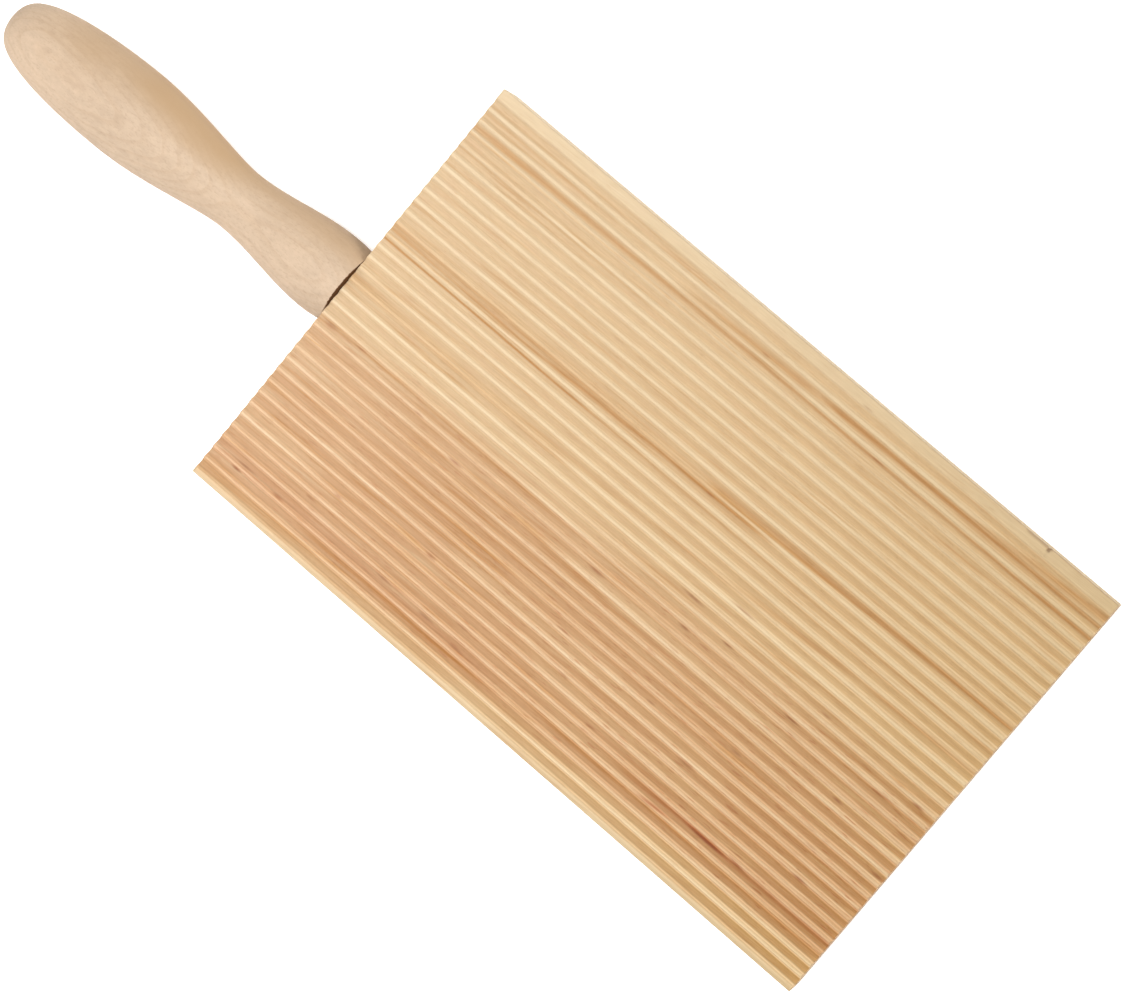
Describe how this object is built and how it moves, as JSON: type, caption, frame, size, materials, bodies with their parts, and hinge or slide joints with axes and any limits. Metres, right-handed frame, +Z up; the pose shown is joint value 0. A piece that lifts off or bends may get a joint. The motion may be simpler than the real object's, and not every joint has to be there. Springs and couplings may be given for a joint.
{
  "type": "gnocchi board",
  "caption": "Ridged wooden board for rolling gnocchi, grooved from end to end on one face, with a turned palm-swell handle dowelled into one end.",
  "frame": {"origin": "middle of the board's flat underside", "axes": "+X along the ridges, away from the handle; +Y across the ridges, towards the long edge with the plain margin; +Z up, out of the ridged face"},
  "size_m": [0.3135, 0.1252, 0.0252],
  "materials": {
    "board_wood": "bare planed straight-grained wood, pale with a pinkish heart, sanded ridges",
    "handle_wood": "bare sanded beech, pale pinkish beige with fine flecks",
    "dowel_wood": "bare fluted beech"
  },
  "bodies": {
    "root": {"ridged_board": "board_wood", "turned_handle": "handle_wood", "dowel_pin": "dowel_wood"}
  },
  "joints": []
}
